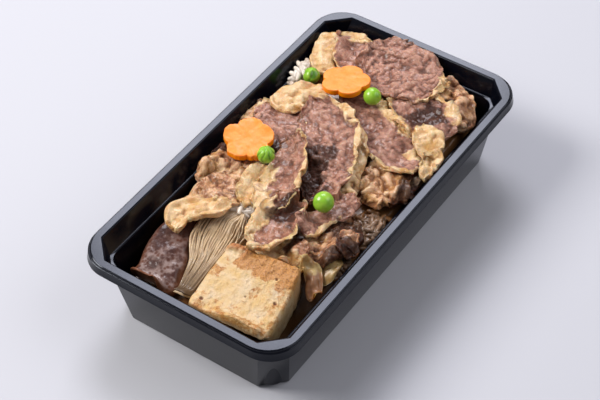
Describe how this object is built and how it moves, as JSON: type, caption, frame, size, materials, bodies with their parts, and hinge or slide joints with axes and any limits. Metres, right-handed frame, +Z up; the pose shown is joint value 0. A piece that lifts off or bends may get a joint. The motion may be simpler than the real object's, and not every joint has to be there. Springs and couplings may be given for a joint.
{
  "type": "sukiyaki rice box",
  "caption": "Black takeaway tray of rice topped with simmered sliced beef, grilled tofu, konjac noodles, mushroom, flower-cut carrot and green peas.",
  "frame": {"origin": "middle of the tray's flat underside", "axes": "+X along the tray, away from the end with the tofu; +Y across it, towards the mushroom's side; +Z up"},
  "size_m": [0.1998, 0.1088, 0.0498],
  "materials": {
    "black_plastic": "satin black moulded plastic",
    "rice_white": "soft steamed white rice",
    "beef_brown": "moist simmered lean beef",
    "beef_fat": "glossy cream beef fat",
    "tofu_grilled": "grilled, browned, matt",
    "mushroom_brown": "glazed dark mushroom",
    "konjac_beige": "wet speckled noodles",
    "onion_clear": "soft translucent onion",
    "carrot_orange": "moist boiled carrot",
    "pea_green": "moist boiled pea"
  },
  "bodies": {
    "root": {"beef_boat": "beef_brown", "beef_centre": "beef_brown", "beef_corner_brown": "beef_brown", "beef_corner_crumple": "beef_brown", "beef_far_leaf": "beef_brown", "beef_far_left": "beef_brown", "beef_front_crumple": "beef_brown", "beef_front_strip": "beef_brown", "beef_left_centre": "beef_brown", "beef_left_crumple": "beef_brown", "beef_left_leaf": "beef_brown", "beef_left_long": "beef_brown", "beef_right_crumple": "beef_brown", "beef_right_long": "beef_brown", "beef_right_stripe": "beef_brown", "beef_small_scrap": "beef_brown", "beef_wall_brown": "beef_brown", "beef_wall_piece": "beef_brown", "carrot_left": "carrot_orange", "carrot_right": "carrot_orange", "fat_centre_frill": "beef_fat", "fat_centre_strip": "beef_fat", "fat_far_column": "beef_fat", "fat_frill_left": "beef_fat", "fat_knob_ribbon": "beef_fat", "fat_left_centre": "beef_fat", "fat_right_wall": "beef_fat", "fat_under_boat": "beef_fat", "konjac_noodles": "konjac_beige", "mushroom": "mushroom_brown", "onion_curl": "onion_clear", "onion_strip": "onion_clear", "pea_front": "pea_green", "pea_left": "pea_green", "pea_round": "pea_green", "pea_wrinkled": "pea_green", "rice": "rice_white", "tofu": "tofu_grilled", "tray": "black_plastic"}
  },
  "joints": []
}
